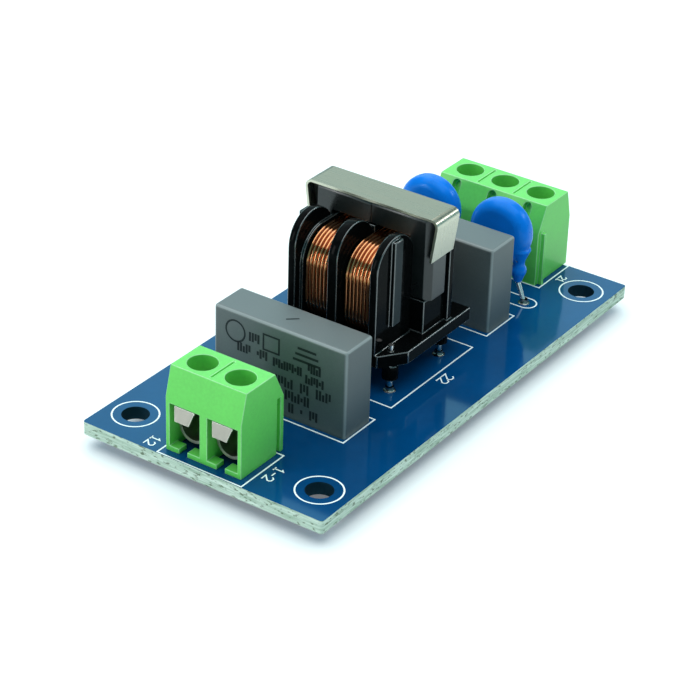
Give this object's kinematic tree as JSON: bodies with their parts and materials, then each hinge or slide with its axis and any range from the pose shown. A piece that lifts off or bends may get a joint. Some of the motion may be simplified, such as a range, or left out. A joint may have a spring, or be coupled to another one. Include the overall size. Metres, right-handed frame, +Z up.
{
  "type": "emi_line_filter",
  "caption": "Mains EMI line filter module with a common mode choke, grey box film capacitors, blue disc capacitors and green screw terminal blocks on a blue circuit board",
  "frame": {"origin": "centre of the four-hole mounting pattern, on the underside of the circuit board", "axes": "+X along the board from the output terminal block to the input terminal block, +Y across the board, +Z up out of the component side"},
  "size_m": [0.0654, 0.0324, 0.0229],
  "materials": {
    "board_blue": "glossy blue solder mask over fibre board, white print, pale cut edges",
    "solder": "bright solder cones",
    "terminal_green": "satin moulded plastic",
    "plated_steel": "nickel plated pressed steel with fine drawing marks",
    "case_grey": "fine matte moulded case",
    "film_metal": "rolled metallised film, out of sight in the resin",
    "resin_grey": "poured resin",
    "tinned_copper": "bright tinned wire",
    "coating_blue": "glossy dipped coating with runs down the leads",
    "ceramic_tan": "plain ceramic, out of sight in the coating",
    "bobbin_black": "glossy black moulding",
    "ferrite": "dark ground ferrite",
    "clip_steel": "satin spring steel with bright sheared edges",
    "enamelled_copper": "glossy enamelled copper wire, one ridge to a turn"
  },
  "bodies": {
    "root": {"circuit_board": "board_blue", "solder_joints": "solder", "output_terminal_housing": "terminal_green", "output_terminal_cages": "plated_steel", "output_wire_guards": "plated_steel", "output_terminal_screws": "plated_steel", "input_terminal_housing": "terminal_green", "input_terminal_cages": "plated_steel", "input_wire_guards": "plated_steel", "input_terminal_screws": "plated_steel", "output_capacitor_case": "case_grey", "output_capacitor_roll": "film_metal", "output_capacitor_resin": "resin_grey", "output_capacitor_leads": "tinned_copper", "input_capacitor_case": "case_grey", "input_capacitor_roll": "film_metal", "input_capacitor_resin": "resin_grey", "input_capacitor_leads": "tinned_copper", "lower_disc_coating": "coating_blue", "lower_disc_ceramic": "ceramic_tan", "lower_disc_leads": "tinned_copper", "upper_disc_coating": "coating_blue", "upper_disc_ceramic": "ceramic_tan", "upper_disc_leads": "tinned_copper", "choke_bobbin": "bobbin_black", "choke_pins": "tinned_copper", "lower_ferrite_half": "ferrite", "upper_ferrite_half": "ferrite", "ferrite_clip": "clip_steel", "lower_winding": "enamelled_copper", "upper_winding": "enamelled_copper"}
  },
  "joints": []
}
